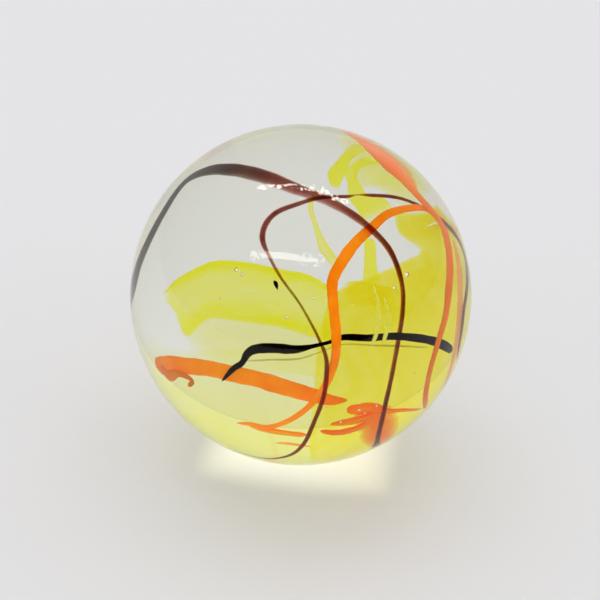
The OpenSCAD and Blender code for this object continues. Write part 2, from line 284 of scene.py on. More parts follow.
# %% [markdown]
# ## Clear glass
#
# The clear glass bends light, as a Principled shader with full transmission does, and takes a little
# of the blue from what passes through its depth. Its polish is worn in a few places at the top, into
# facets about a fifth of a millimetre wide that lean this way and that, so they glitter where the
# lamps are mirrored. A Voronoi texture gives the facets: all of one cell has one colour, and that
# colour is the lean. A mask of soft spots keeps the rest of the ball smooth.

# %% Clear glass
worn_spots = [  # each a place and a reach, in millimetres
    ((-2, -6, 16.4), 2.2), ((1, -6.4, 16.3), 1.8), ((3.4, -7, 15.7), 1.3),
    ((-4, -11.6, 12.5), 1.0), ((1.2, -12.3, 12.4), 1.6),
]
facets_per_mm = 4.6
facet_lean = 0.05
glass_ior = 1.5
polish_tint = (0.55, 0.52, 0.46, 1)  # dims and warms what the polish mirrors


def absorb(tree, output, taken):
    """Fills the material with plain absorption. taken is the loss a millimetre in each colour. The
    node takes density times 1 less the colour, so the density is the largest loss."""
    most = max(taken)
    colour = [1 - loss / most for loss in taken]
    inside = add_node(tree, "ShaderNodeVolumeAbsorption", Color=(*colour, 1), Density=most / MM)
    tree.links.new(inside.outputs[0], output.inputs["Volume"])


def worn_polish(tree, spots, lean):
    """A normal for polish that is worn to small facets in each spot: the surface's own normal plus
    (cell colour - 1/2) times lean, made a unit vector. From 0.6 of a spot's reach outwards the lean
    shrinks to nothing."""
    place = tree.nodes.new("ShaderNodeTexCoord").outputs["Object"]
    facets = add_node(tree, "ShaderNodeTexVoronoi", Vector=place, Scale=facets_per_mm / MM)
    leans = []
    for spot, reach in spots:
        away = vector_math(tree, "DISTANCE", place, [value * MM for value in spot])
        leans.append(mapped(tree, away.outputs["Value"], 0.6 * reach * MM, reach * MM, lean, 0.0))
    most = leans[0]
    for other in leans[1:]:
        most = number_math(tree, "MAXIMUM", most, other)
    way = vector_math(tree, "SUBTRACT", facets.outputs["Color"], (0.5, 0.5, 0.5))
    tilt = vector_math(tree, "SCALE", way.outputs[0])
    tree.links.new(most, tilt.inputs["Scale"])
    own = tree.nodes.new("ShaderNodeNewGeometry").outputs["Normal"]
    turned = vector_math(tree, "ADD", own, tilt.outputs[0])
    return vector_math(tree, "NORMALIZE", turned.outputs[0]).outputs[0]


def clear_glass():
    """The clear glass of the ball, with its worn spots."""
    material, tree, output = new_material("clear")
    glass = add_node(tree, "ShaderNodeBsdfPrincipled", Base_Color=(1, 1, 1, 1), Roughness=0.0,
                     IOR=glass_ior, Transmission_Weight=1.0, Specular_Tint=polish_tint,
                     Normal=worn_polish(tree, worn_spots, facet_lean))
    tree.links.new(glass.outputs[0], output.inputs["Surface"])
    absorb(tree, output, (0.0023, 0.0016, 0.0042))
    return material


clear = clear_glass()
print(f"{clear.name}: {len(worn_spots)} worn spots, facets of {1 / facets_per_mm:.2f} mm")

# %% [markdown]
# ## The walls of the bubbles
#
# The wall of a bubble was never polished. It is finely wrinkled and sends light from all round on to
# the eye, so a bubble shows as a small pale spot with a thin darker rim. A rough glass bends the
# light, and a faint uneven painted glow, an emission, stands for the light that the wrinkles send on.

# %% Bubble walls
def rough_wall_with_painted_glow(name):
    """Rough glass with a painted glow between a tenth and three tenths of white, uneven from place
    to place. The glow stands for light that the wrinkled wall sends on."""
    material, tree, output = new_material(name)
    place = tree.nodes.new("ShaderNodeTexCoord").outputs["Object"]
    # Painted glow: this noise makes the emission uneven, not the surface.
    glow_unevenness = add_node(tree, "ShaderNodeTexNoise", Vector=place, Scale=6.0 / MM)
    painted_wall_glow = mapped(tree, glow_unevenness.outputs[0], 0.0, 1.0, 0.1, 0.3)
    wall = add_node(tree, "ShaderNodeBsdfPrincipled", Base_Color=(1, 0.97, 0.88, 1), Roughness=0.35,
                    IOR=glass_ior, Transmission_Weight=1.0, Emission_Color=(1, 0.85, 0.6, 1),
                    Emission_Strength=painted_wall_glow)
    tree.links.new(wall.outputs[0], output.inputs["Surface"])
    return material


bubble_wall = rough_wall_with_painted_glow("bubble_wall")
print("bubble walls:", bubble_wall.name)

# %% [markdown]
# ## Coloured glass
#
# Coloured glass is melted into the clear glass, so there is no bright skin between the two and light
# goes straight on. A Transparent shader gives that, and a Volume Absorption inside gives the colour:
# it deepens with the length of the way through, so thick rims are strong and thin middles pale. The
# colour is written as what each millimetre takes off in red, green and blue. The threads also change
# colour along their run, from smoky grey to plum and brown, so they take a tone by place as well. The
# long thread and the loop are one glass, toned along different axes, as they run different ways.

# %% Coloured glass
def coloured_glass(name, taken, axis="Z", tones=()):
    """Clear coloured glass melted into the clear glass: it only takes light off. tones are places in
    millimetres along an axis, each with a colour that the light takes on its way in and out there."""
    material, tree, output = new_material(name)
    through = add_node(tree, "ShaderNodeBsdfTransparent", Color=(1, 1, 1, 1))
    if tones:
        place = tree.nodes.new("ShaderNodeTexCoord").outputs["Object"]
        split = tree.nodes.new("ShaderNodeSeparateXYZ")
        tree.links.new(place, split.inputs[0])
        share = mapped(tree, split.outputs[axis], -ball_r, ball_r)
        ramp = add_node(tree, "ShaderNodeValToRGB", Fac=share)
        stops = ramp.color_ramp.elements
        stops = [stops[0], stops[1]] + [stops.new(0.5) for _ in tones[2:]]
        for stop, (at, colour) in zip(stops, tones):
            stop.position = (at * MM + ball_r) / (2 * ball_r)
            stop.color = (*colour, 1)
        tree.links.new(ramp.outputs["Color"], through.inputs["Color"])
    tree.links.new(through.outputs[0], output.inputs["Surface"])
    absorb(tree, output, taken)
    return material


aubergine = coloured_glass("aubergine", (4.6, 8.5, 10.0), axis="X", tones=[
    (-8, (0.62, 0.86, 0.82)), (-5, (0.75, 0.88, 0.85)), (-2, (1.0, 0.9, 0.95)), (4, (1.0, 0.88, 0.9)),
    (9, (0.95, 0.8, 0.5)),
])
maroon = coloured_glass("aubergine", (4.6, 8.5, 10.0), axis="Z", tones=[
    (2, (0.92, 0.72, 0.4)), (6, (0.88, 0.98, 0.6)), (10, (0.88, 1.0, 0.62)), (12.5, (0.98, 0.82, 0.9)),
])
black = coloured_glass("black", (20.0, 25.0, 28.0))
# olive colours the painted ghost line under the black band.
olive = coloured_glass("olive", (2.5, 3.0, 5.0))
yellow = coloured_glass("yellow", (0.06, 0.33, 6.8))
lemon = coloured_glass("lemon", (0.03, 0.06, 6.5))
pale_yellow = coloured_glass("pale_yellow", (0.02, 0.05, 2.2))
print("glass so far:", ", ".join(material.name for material in bpy.data.materials))

# %% [markdown]
# ## Opal glass
#
# Orange glass is opal. It is full of fine white specks that send light back from near its skin. A
# mostly opaque surface with a painted glow does that: light scattered many times inside the ball
# would take very many samples, so an emission, painted light, stands for it. Two tones drift into
# each other. Some ribbons have soft edges or change tone along their run, which each piece says
# with two attributes, milk and tint.

# %% Opal glass
mix_factor, mix_first, mix_second, mix_result = 0, 6, 7, 2  # a Mix node's sockets for colours


def named_attribute(tree, name):
    """The node that reads a piece's own attribute."""
    made = tree.nodes.new("ShaderNodeAttribute")
    made.attribute_name = name
    return made


def opal_glass(name, taken, deep, pale, share, glow):
    """Milky coloured glass: a share of it scatters light and has a painted glow of strength glow, the
    rest lets light through. deep and pale are its two tones. The piece's milk times that share is the
    opaque part, and its tint times the tone is the colour, of the surface and of the glow."""
    material, tree, output = new_material(name)
    place = tree.nodes.new("ShaderNodeTexCoord").outputs["Object"]
    cloud = add_node(tree, "ShaderNodeTexNoise", Vector=place, Scale=420.0, Detail=5.0, Roughness=0.6)
    tone = tree.nodes.new("ShaderNodeMix")
    tone.data_type = "RGBA"
    tree.links.new(mapped(tree, cloud.outputs[0], 0.35, 0.65), tone.inputs[mix_factor])
    tone.inputs[mix_first].default_value = (*deep, 1)
    tone.inputs[mix_second].default_value = (*pale, 1)
    tint = named_attribute(tree, "tint").outputs["Color"]
    shade = vector_math(tree, "MULTIPLY", tone.outputs[mix_result], tint).outputs[0]
    cloudy = mapped(tree, cloud.outputs[0], 0.3, 0.7, min(share * 1.1, 1.0), share * 0.85)
    milky = number_math(tree, "MULTIPLY", cloudy, named_attribute(tree, "milk").outputs["Fac"])
    through = add_node(tree, "ShaderNodeBsdfTransparent", Color=(1, 1, 1, 1))
    # The emission is painted glow: it stands in for light that the opal scatters inside.
    milk = add_node(tree, "ShaderNodeBsdfPrincipled", Base_Color=shade, Roughness=0.7, IOR=1.02,
                    Emission_Color=shade, Emission_Strength=glow)
    mixed = add_node(tree, "ShaderNodeMixShader", Fac=milky)
    tree.links.new(through.outputs[0], mixed.inputs[1])
    tree.links.new(milk.outputs[0], mixed.inputs[2])
    tree.links.new(mixed.outputs[0], output.inputs["Surface"])
    absorb(tree, output, taken)
    return material


orange = opal_glass("orange", (0.05, 4.5, 14.0), deep=(1.0, 0.25, 0.003), pale=(1.0, 0.43, 0.012),
                    share=0.92, glow=0.40)
deep_orange = opal_glass("deep_orange", (0.02, 0.7, 3.0), deep=(0.82, 0.19, 0.004),
                         pale=(0.86, 0.27, 0.012), share=0.97, glow=0.27)
pale_orange = opal_glass("pale_orange", (0.02, 0.5, 2.5), deep=(1.0, 0.32, 0.02),
                         pale=(1.0, 0.46, 0.05), share=0.62, glow=0.36)
rust = opal_glass("rust", (0.02, 0.7, 3.0), deep=(0.75, 0.21, 0.003), pale=(0.82, 0.27, 0.006),
                  share=0.95, glow=0.26)
tan = opal_glass("tan", (0.05, 1.0, 3.0), deep=(0.80, 0.36, 0.10), pale=(0.85, 0.42, 0.16),
                 share=0.55, glow=0.3)
lemon_milk = opal_glass("lemon_milk", (0.02, 0.05, 2.0), deep=(0.70, 0.72, 0.08),
                        pale=(0.75, 0.78, 0.15), share=0.95, glow=0.45)
print("materials:", len(bpy.data.materials))

# %% [markdown]
# ## Smooth runs
#
# Every thread and every edge of a veil is a smooth curve through a few stations, as in the solids. A
# Catmull-Rom curve passes through all its points and needs no handles, so it suits a route that was
# drawn by a hand.

# %% Smooth runs
def unit(vectors):
    """Each vector divided by its own length."""
    return vectors / np.linalg.norm(vectors, axis=-1, keepdims=True)


def heading(stations):
    """Directions from the ball's middle: x is cos(latitude) sin(longitude), y is minus
    cos(latitude) cos(longitude), and z is sin(latitude)."""
    lon, lat = np.radians(stations[:, 0]), np.radians(stations[:, 1])
    return np.stack([np.cos(lat) * np.sin(lon), -np.cos(lat) * np.cos(lon), np.sin(lat)], 1)


def along(points, s):
    """The curve through points at s, counted in points: half of 2 b + (c - a) t +
    (2 a - 5 b + 4 c - d) t^2 + (3 b - a - 3 c + d) t^3, for the four points a, b, c, d around s. It
    runs straight on past both ends."""
    points = np.asarray(points, float)
    padded = np.concatenate([2 * points[:1] - points[1:2], points, 2 * points[-1:] - points[-2:-1]])
    i = np.clip(np.floor(s).astype(int), 0, len(points) - 2)
    t = (s - i).reshape(-1, *[1] * (points.ndim - 1))
    a, b, c, d = (padded[i + k] for k in range(4))
    square, cube = 2 * a - 5 * b + 4 * c - d, 3 * b - a - 3 * c + d
    return 0.5 * (2 * b + (c - a) * t + square * t**2 + cube * t**3)


def course(points, s):
    """The way the curve runs at s: the step between two of its places a tenth of a station apart."""
    return along(points, s + 0.05) - along(points, s - 0.05)


halfway = along([[0.0], [1.0], [4.0], [9.0]], np.array([1.5]))[0, 0]
print(f"a curve through 0, 1, 4 and 9 is at {halfway:.2f} midway between 1 and 4")

# %% [markdown]
# ## Closed skins
#
# Each piece is a grid of points: rings along its length, corners round each ring. One function turns
# such a grid into a closed mesh, with a strip of faces over each end. A second one measures what the
# mesh holds, which also tells whether its faces look outwards.

# %% Closed skins
def skin(name, rings, material):
    """A closed mesh through rings of equally many corners. Corner j of a ring faces corner m - 1 - j
    across it, so each end is closed by quads between the two sides."""
    n, m, _ = rings.shape
    row, column = np.meshgrid(np.arange(n - 1) * m, np.arange(m), indexing="ij")
    after = (column + 1) % m
    walls = np.stack([row + column, row + after, row + m + after, row + m + column], -1).reshape(-1, 4)
    j = np.arange(m // 2 - 1)
    start = np.stack([j, m - 1 - j, m - 2 - j, j + 1], 1)
    end = start[:, ::-1] + (n - 1) * m
    faces = np.concatenate([walls, start, end])
    mesh = bpy.data.meshes.new(name)
    mesh.from_pydata(rings.reshape(-1, 3).tolist(), [], faces.tolist())
    mesh.polygons.foreach_set("use_smooth", np.ones(len(mesh.polygons), bool))
    mesh.materials.append(material)
    piece = bpy.data.objects.new(name, mesh)
    bpy.context.collection.objects.link(piece)
    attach(piece, "root")
    return piece


def signed_volume(piece):
    """The mesh's volume by the divergence theorem, positive where its faces point outwards: a sixth
    of the sum of a . (b x c) over its triangles."""
    mesh = piece.data
    mesh.calc_loop_triangles()
    corners = np.zeros(len(mesh.vertices) * 3)
    mesh.vertices.foreach_get("co", corners)
    index = np.zeros(len(mesh.loop_triangles) * 3, np.int32)
    mesh.loop_triangles.foreach_get("vertices", index)
    a, b, c = corners.reshape(-1, 3)[index.reshape(-1, 3)].transpose(1, 0, 2)
    return float((a * np.cross(b, c)).sum() / 6)


# %% [markdown]
# ## Strands
#
# A thread or ribbon is a strand: a slim oval section swept along a run that keeps one depth under the
# ball's skin, as glass does that was trailed over a hot ball and then cased. Its width wavers, since
# it was drawn by hand, and both ends are rounded. Two attributes go with it to its material: how
# milky it is there, for ribbons with soft edges, and a tint.

# %% Strands
strand_sides = 20
strand_steps = 10  # rings from one station to the next
strand_waver = 0.05  # of its width


def uneven(s, seed, step=1.0):
    """A hand's unevenness, mostly between -1 and 1: 1.6 times the mean of five sines of s / step with
    seeded pitches and starts."""
    random = np.random.default_rng(seed)
    pitch, start = random.uniform(0.6, 4.0, 5), random.uniform(0, 2 * np.pi, 5)
    return np.sin(s[..., None] / step * pitch + start).mean(-1) * 1.6


def give(piece, name, kind, field, values):
    """Stores one value a point under a name that a material can read."""
    layer = piece.data.attributes.new(name, kind, "POINT")
    layer.data.foreach_set(field, values.ravel())


def milkiness(faded, share, angle):
    """How milky a strand is at each ring and corner. With faded 1 it loses up to 0.8 towards its right
    side where its width share is above 1.2, and most from 2.4 on. With faded 2 it is
    1 - cos(angle)^2, so it thins to both sides. With faded 0 it is 1 all over."""
    if faded == 1:
        broad = np.clip((share - 1.2) / 1.2, 0, 1)
        return 1 - broad[:, None] * (0.8 * np.clip((np.cos(angle) + 0.3) / 1.3, 0, 1))[None]
    if faded == 2:
        return 1 - np.cos(angle)[None] ** 2 + np.zeros((len(share), 1))
    return np.ones((len(share), len(angle)))


def strand(name, stations, width, thickness, material, skew=0.0, seed=1, tip=2.5, faded=0,
           tints=((0, (1, 1, 1)),)):
    """A drawn strand that lies concentric with the ball. At angle a round its section a corner is
    (out r + side cos(a) w / 2), made a unit vector, times (r + sin(a) (1 + skew cos a) t / 2). A
    station is longitude, latitude, layer, width share and, where it is not 1, thickness share. skew
    makes one side thicker than the other, tip is how soon an end reaches its full width, and tints
    are stations with a tint each."""
    stations = np.array([list(row) + [1] * (5 - len(row)) for row in stations], float)
    last = len(stations) - 1
    s = np.linspace(0, last, last * strand_steps + 1)
    headings = heading(stations)
    out = unit(along(headings, s))
    side = unit(np.cross(out, course(headings, s)))
    r = first_layer_r - along(stations[:, 2], s) * layer_pitch
    width_share = along(stations[:, 3], s)
    wide = np.maximum(width_share, 0.1) * width * (1 + strand_waver * uneven(s, seed, 0.35))
    from_end = np.clip(np.minimum(s, last - s) * tip, 0.02, 1)
    wide = wide * np.sqrt(1 - (1 - from_end) ** 2)
    thickness_share = along(stations[:, 4], s) * (1 + 2 * strand_waver * uneven(s, seed + 50, 0.5))
    deep = np.minimum(thickness * np.clip(thickness_share, 0.1, 2), wide)

    angle = (np.arange(strand_sides) + 0.5) * 2 * np.pi / strand_sides
    spread = side[:, None] * (np.cos(angle)[None, :, None] * wide[:, None, None] / 2)
    reach = r[:, None] + (np.sin(angle) * (1 + skew * np.cos(angle)))[None] * deep[:, None] / 2
    piece = skin(name, unit(out[:, None] * r[:, None, None] + spread) * reach[..., None], material)
    give(piece, "milk", "FLOAT", "value", milkiness(faded, width_share, angle))
    at = [place for place, _ in tints]
    tint = [np.interp(s, at, [colour[k] for _, colour in tints]) for k in range(3)]
    rows = np.stack([*tint, np.ones_like(s)], 1)
    give(piece, "tint", "FLOAT_COLOR", "color", np.repeat(rows, strand_sides, 0))
    return piece


print(f"a strand has {strand_sides} corners a ring and {strand_steps} rings a station")

# %% [markdown]
# ## Sheets of colour
#
# A veil is a sheet that was folded and drawn out between two edges, so it is built as a surface
# between two smooth curves, which are the edges of its solid. Its thickness follows a formula: rims
# are thicker than the middle, the ends thin out, and faint streaks run along it. With absorbing glass
# inside, the thickness is its whole picture, so it is set by the depth of colour and is not quite the
# solid's.

# %% Sheets of colour
veil_steps = 16  # rings from one station to the next
veil_cuts = 44  # parts from edge to edge
edge_round = 0.05  # share of the way across over which an edge rounds off
end_share = 0.03  # thickness left at the very ends
least_half = 0.002 * MM


def veil(name, stations, material, thick, rim_run, start, end, lift=0.0, streaks=0.0, seed=1):
    """A veil between two edges: its middle surface is a + (b - a) v, bowed by 4 v (1 - v) lift along
    its normal. thick is its thickness in millimetres at edge a, in the middle and at edge b. A rim
    dies away as exp(-(distance / rim_run)^2). start and end are the shares of its length over which
    it thins out to each end, smoothly as x^2 (3 - 2 x), and streaks is how much its thickness varies
    from place to place."""
    edges = np.array(stations, float) / 100 * core_r
    last = len(edges) - 1
    s = np.linspace(0, last, last * veil_steps + 1)
    a, b = along(edges[:, 0], s), along(edges[:, 1], s)
    normal = unit(np.cross(course(edges.sum(1), s), b - a))
    v = (1 - np.cos(np.linspace(0, np.pi, veil_cuts + 1))) / 2
    middle = a[:, None] + (b - a)[:, None] * v[None, :, None]
    middle = middle + normal[:, None] * (lift / 100 * core_r * 4 * v * (1 - v))[None, :, None]

    rim_a, thin, rim_b = (value * MM for value in thick)
    bulge_a, bulge_b = np.exp(-((v / rim_run) ** 2)), np.exp(-(((1 - v) / rim_run) ** 2))
    profile = thin + (rim_a - thin) * bulge_a + (rim_b - thin) * bulge_b
    near_edge = np.clip(np.minimum(v, 1 - v) / edge_round, 0, 1)
    closed = np.sqrt(1 - (1 - near_edge) ** 2)
    u = s / last
    eased = np.clip(np.minimum(u / start, (1 - u) / end), 0, 1) ** 0.75
    fade = end_share + (1 - end_share) * eased**2 * (3 - 2 * eased)
    drift = 0.7 * uneven(s[:, None] + np.zeros_like(v), seed, 1.2)
    flow = 1 + streaks * uneven(4 * v[None] + drift, seed + 9, 0.4)
    half = fade[:, None] * (profile * closed)[None] * flow / 2 + least_half
    below = middle - normal[:, None] * half[..., None]
    above = middle + normal[:, None] * half[..., None]
    return skin(name, np.concatenate([below, above[:, ::-1]], 1), material)


print(f"a veil has {2 * (veil_cuts + 1)} corners a ring and {veil_steps} rings a station")

# %% [markdown]
# ## Threads
#
# Two aubergine threads run round the upper half: a long one that broadens at its back and thins
# towards its end, and one that makes an open loop and then sinks to the foot. A black band lies
# across the middle, and one dark speck hangs in the upper front. The faint olive thread under the
# band is a painted ghost of the band: a dark line that light makes under it, drawn as a thread.
# A station of a run is longitude, latitude, layer under the skin, share of the width and share of
# the thickness. The runs are those of the solids, with many more rings and a thickness that changes
# on the way. The loop's fall across the middle is drawn a little finer than its solid, as a thread is
# finest where it was pulled fastest.

# %% Threads
pieces = {}
pieces["long_thread"] = strand("drawn_long_thread", [
    [-104, -22, 0, 1], [-92, -12, 0, 2.8, 1.2], [-84, 0, 0, 4.6, 1.2], [-79, 12, 0, 5, 1.2],
    [-79, 20, 0, 4.4, 1.2], [-80, 30, 0, 3.5, 1.2], [-84, 39, 0, 3, 1.2],
    [-93, 49, 0, 2.6, 1.3], [-90, 58, 0, 3, 1.3], [-74, 67, 0, 3.4, 1.2], [-42, 72, 0, 3.3, 1],
    [-5, 70, 0, 2.7, 0.85], [18, 65, 0, 2.2, 0.7], [31, 58, 0, 1.8, 0.9], [38, 50, 0, 1.5, 1],
    [41, 42, 0, 1.3, 1.2], [40, 32, 0, 1.1], [37, 24, 0, 1.1], [33, 15, 0, 1.1], [30, 5, 0, 1.1],
    [28, -7, 0, 1.1, 1.3], [28, -20, 0, 1.2, 1.5], [30, -30, 0, 1.3, 1.8], [32, -36, 0, 2.6, 2],
], thread_w, thread_t, aubergine, skew=0.45, seed=21, tip=4)
pieces["loop_thread"] = strand("drawn_loop_thread", [
    [65, -9, 0, 0.8], [65, -2, 0, 1.4, 1.2], [69, 8, 0, 1.9, 1.2], [77, 13, 0, 2.1, 1.2],
    [84, 18, 0, 2.1, 1.2], [87, 24, 0.5, 1.9, 1.2], [86, 33, 1.6, 1.4], [82, 43, 2.2, 0.9],
    [74, 53, 2.2, 0.8], [57, 61, 1.6, 0.8], [46, 64, 1.3, 0.3, 0.3], [36, 65, 1, 0.8],
    [15, 67, 1, 0.9], [-3, 65, 1, 1], [-16, 61, 0.6, 1.1], [-20, 56, 0.2, 1.2], [-19, 51, 0, 1.1],
    [-14, 46, 0, 0.7, 0.7], [-8, 40, 0, 0.55, 0.6], [-1, 33, 0, 0.5, 0.6], [3, 27, 0, 0.5, 0.6],
    [6, 21, 0, 0.6, 0.8], [8, 15, 0, 0.8], [8, 9, 0, 1], [7, 1, 0, 0.9], [4, -10, 0, 0.9],
    [1, -21, 0, 0.9], [-4, -30, 0, 0.9], [-14, -37, 0, 0.8], [-23, -38, 0, 0.7],
    [-34, -38, 0, 0.6], [-46, -35, 0, 0.3],
], thread_w, thread_t, maroon)
pieces["black_band"] = strand("drawn_black_band", [
    [-27, 1, 2, 0.3], [-23, 7, 2, 0.8], [-20, 10, 2, 0.8], [-18, 14, 2, 1.1],
    [-15, 16, 2, 1.3], [-9, 17, 2, 1.4], [-2, 17, 2, 1.15], [4, 18, 2, 0.6],
    [10, 19, 2, 0.5], [15, 20, 2, 0.85], [24, 18, 2, 0.95], [33, 16, 2, 1],
    [42, 12, 2, 1.1], [50, 7, 2, 1.2], [57, 1, 2, 1.3], [62, -4, 2, 1.1],
], band_w, band_t, black)
# Painted ghost line: a dark line that light makes under the black band, drawn as a thread.
pieces["faint_thread"] = strand("drawn_band_ghost_line", [
    [-20, 10, 3, 0.3], [-11, 12, 3, 0.4], [-1, 13, 3, 0.4], [6, 15, 3, 0.3], [15, 17, 3, 0.3],
    [27, 14, 3, 0.4], [38, 10, 3, 0.4], [50, 4, 3, 0.3],
], thread_w, thread_t, olive)
pieces["dark_speck"] = strand("drawn_dark_speck", [
    [-11, 39, 1, 0.5], [-10, 38, 1, 0.8], [-9, 36, 1, 0.2],
], thread_w, thread_t, black, tip=1.2)
print("threads:", ", ".join(pieces))

# %% [markdown]
# ## Ribbons
#
# The orange ribbons are opal glass of several strengths. One makes an arch, one falls down the right
# side from a broad soft patch, one lies low across the front, and short ends, knots and one cloud
# gather at the lower right. Two short pale streaks lie over the veil. They are drawn a little wider
# and shorter than their solids, with soft edges, since a streak of thin milk has no firm outline.

# %% Orange ribbons
pieces["orange_arch"] = strand("drawn_orange_arch", [
    [83, 38, 1, 0.6], [79, 44, 1, 0.75], [70, 49, 1, 0.8], [54, 53, 1, 0.9], [40, 52, 1, 1],
    [27, 49, 1, 1.15], [18, 44, 1, 1.2], [13, 39, 1, 1.15], [12, 33, 1, 1.05], [12, 27, 1, 1.05],
    [12, 21, 1, 1], [11, 13, 1, 0.9], [8, 5, 1, 0.8], [3, -3, 1, 0.7], [-4, -10, 1, 0.65],
    [-11, -14, 1, 0.65], [-17, -14, 1, 0.6], [-22, -15, 1, 0.25],
], ribbon_w, ribbon_t, orange, tints=[
    (0, (0.8, 0.65, 0.6)), (3, (0.86, 0.72, 0.7)), (5, (0.95, 0.95, 1)), (8, (1, 1, 1)),
])
pieces["orange_side"] = strand("drawn_orange_side", [
    [178, 38, 0, 0.3], [169, 48, 0, 0.5], [157, 57, 0, 0.8], [138, 64, 0, 1.8], [119, 63, 0, 3.6],
    [101, 59, 0, 5], [89, 54, 0, 3.6], [82, 50, 0, 1.6], [80, 43, 0, 1.35], [79, 36, 0, 1.4],
    [74, 31, 0, 1.5], [68, 26, 0, 1.5], [61, 20, 0, 1.4], [56, 14, 0, 1.2], [50, 7, 0, 1],
    [46, -2, 0, 0.9], [46, -12, 0, 0.85], [50, -22, 0, 0.8],
], ribbon_w, ribbon_t, deep_orange, faded=1)
pieces["orange_hairline"] = strand("drawn_orange_hairline", [
    [82, 28, 1, 0.6], [77, 22, 1, 1.3], [71, 15, 1, 1.6], [66, 6, 1, 1.6], [63, -4, 1, 1.4],
    [62, -15, 1, 1], [63, -28, 1, 0.5],
], ribbon_w, ribbon_t, tan)
pieces["orange_low"] = strand("drawn_orange_low", [
    [-60, -10, 3, 1.7], [-54, -6, 3, 2.2], [-45, -1, 3, 2], [-34, 3, 3, 1.85], [-24, 4, 3, 1.9],
    [-15, 4, 3, 1.95], [-6, 2, 3, 1.95], [3, -1, 3, 1.75], [10, -4, 3, 1.3], [16, -5, 3, 0.4],
], ribbon_w, ribbon_t, orange, tints=[
    (0, (0.75, 0.62, 0.6)), (1.5, (0.82, 0.82, 0.8)), (4, (0.88, 0.9, 0.9)), (7, (0.88, 0.78, 0.8)),
    (9, (0.84, 0.72, 0.7)),
])
pieces["orange_hook"] = strand("drawn_orange_hook", [
    [-55, -6, 2, 0.9], [-51, -8, 2, 1.3], [-46, -4, 2, 0.9], [-41, -3, 2, 0.65],
    [-39, -4, 2, 0.55], [-41, -7, 2, 0.5],
], ribbon_w, ribbon_t, rust)
pieces["orange_tail"] = strand("drawn_orange_tail", [
    [-19, -18, 3, 0.4], [-14, -19, 3, 0.9], [-6, -20, 3, 0.9], [2, -21, 3, 0.8],
], ribbon_w, ribbon_t, orange, faded=2, tints=[(0, (0.95, 1.2, 1.2))])
pieces["orange_trace"] = strand("drawn_orange_trace", [
    [-10, -27, 3, 0.2], [-4, -27, 3, 0.45], [4, -29, 3, 0.2],
], ribbon_w, ribbon_t, pale_orange)
pieces["orange_knot"] = strand("drawn_orange_knot", [
    [16, -9, 3, 0.9], [19, -10, 3, 1.5], [24, -11, 3, 1.6], [28, -13, 3, 1.2], [33, -16, 3, 0.65],
    [40, -19, 3, 0.5], [53, -26, 3, 0.2],
], ribbon_w, ribbon_t, orange, faded=2, tints=[(0, (0.86, 0.7, 0.6))])
pieces["orange_knot_low"] = strand("drawn_orange_knot_low", [
    [7, -19, 3, 0.6], [13, -21, 3, 1], [18, -21, 3, 1.1], [22, -20, 3, 1], [24, -18, 3, 0.6],
], ribbon_w, ribbon_t, orange, faded=2, tints=[(0, (0.84, 0.7, 0.6))])
pieces["orange_knot_arc"] = strand("drawn_orange_knot_arc", [
    [10, -14, 2, 0.4], [15, -14, 2, 1.1], [20, -14, 2, 1.1], [25, -13, 2, 0.5],
], ribbon_w, ribbon_t, orange, faded=2, tints=[(0, (0.86, 0.75, 0.6))])
pieces["orange_cloud"] = strand("drawn_orange_cloud", [
    [22, -12, 4, 0.6], [25, -16, 4, 1], [30, -22, 4, 1.2], [34, -31, 4, 1.2], [42, -43, 4, 0.7],
], cloud_w, ribbon_t, pale_orange, faded=2, tints=[(0, (0.84, 0.33, 0.1))])
pieces["yellow_streak"] = strand("drawn_yellow_streak", [
    [29, 35, 1, 0.4], [29, 29, 1, 0.6], [28, 24, 1, 0.8], [26, 19, 1, 0.8], [24, 16, 1, 0.5],
], streak_w, thread_t, lemon_milk, faded=2)
pieces["yellow_streak_right"] = strand("drawn_yellow_streak_right", [
    [32, 30, 1, 0.4], [32, 24, 1, 0.7], [30, 19, 1, 0.9], [28, 15, 1, 0.5],
], streak_w, thread_t, lemon_milk, faded=2)
print("strands in all:", len(pieces))

# %% [markdown]
# ## Veils
#
# Yellow glass fills the core in folds. A station of a veil is a point on each of its two edges, in
# hundredths of the core's radius. The heart is the largest and strongest, the lobe at the left is
# paler with a thick rim, and the wash, skirt and shoulder are only a tint. The heart starts a little
# further to the left than its solid does, as the yellow reaches in under the arch there.

# %% Yellow veils
pieces["yellow_lobe"] = veil("folded_yellow_lobe", [
    [[-74, -8, 4], [-72, -8, 2]], [[-70, -14, 18], [-66, -12, -2]],
    [[-62, -20, 30], [-58, -14, -16]], [[-48, -24, 40], [-48, -16, -4]],
    [[-32, -28, 42], [-36, -20, -2]], [[-18, -30, 40], [-24, -20, -4]],
    [[-8, -28, 36], [-12, -20, -6]], [[4, -24, 30], [2, -18, -12]],
    [[16, -22, 20], [16, -16, -18]],
], lemon, lift=5, thick=(0.2, 0.14, 0.36), rim_run=0.22, start=0.03, end=0.04, streaks=0.15, seed=3)
pieces["yellow_skirt"] = veil("folded_yellow_skirt", [
    [[-60, 2, -10], [-56, 0, -24]], [[-50, 0, -12], [-50, 0, -32]],
    [[-36, -4, -10], [-36, -2, -38]], [[-24, -4, -10], [-24, -4, -40]],
    [[-10, -4, -10], [-10, -4, -42]], [[0, -6, -12], [0, -6, -42]],
    [[10, -10, -12], [10, -12, -40]],
], pale_yellow, thick=(0.2, 0.31, 0.15), rim_run=0.3, start=0.3, end=0.04, streaks=0.15, seed=4)
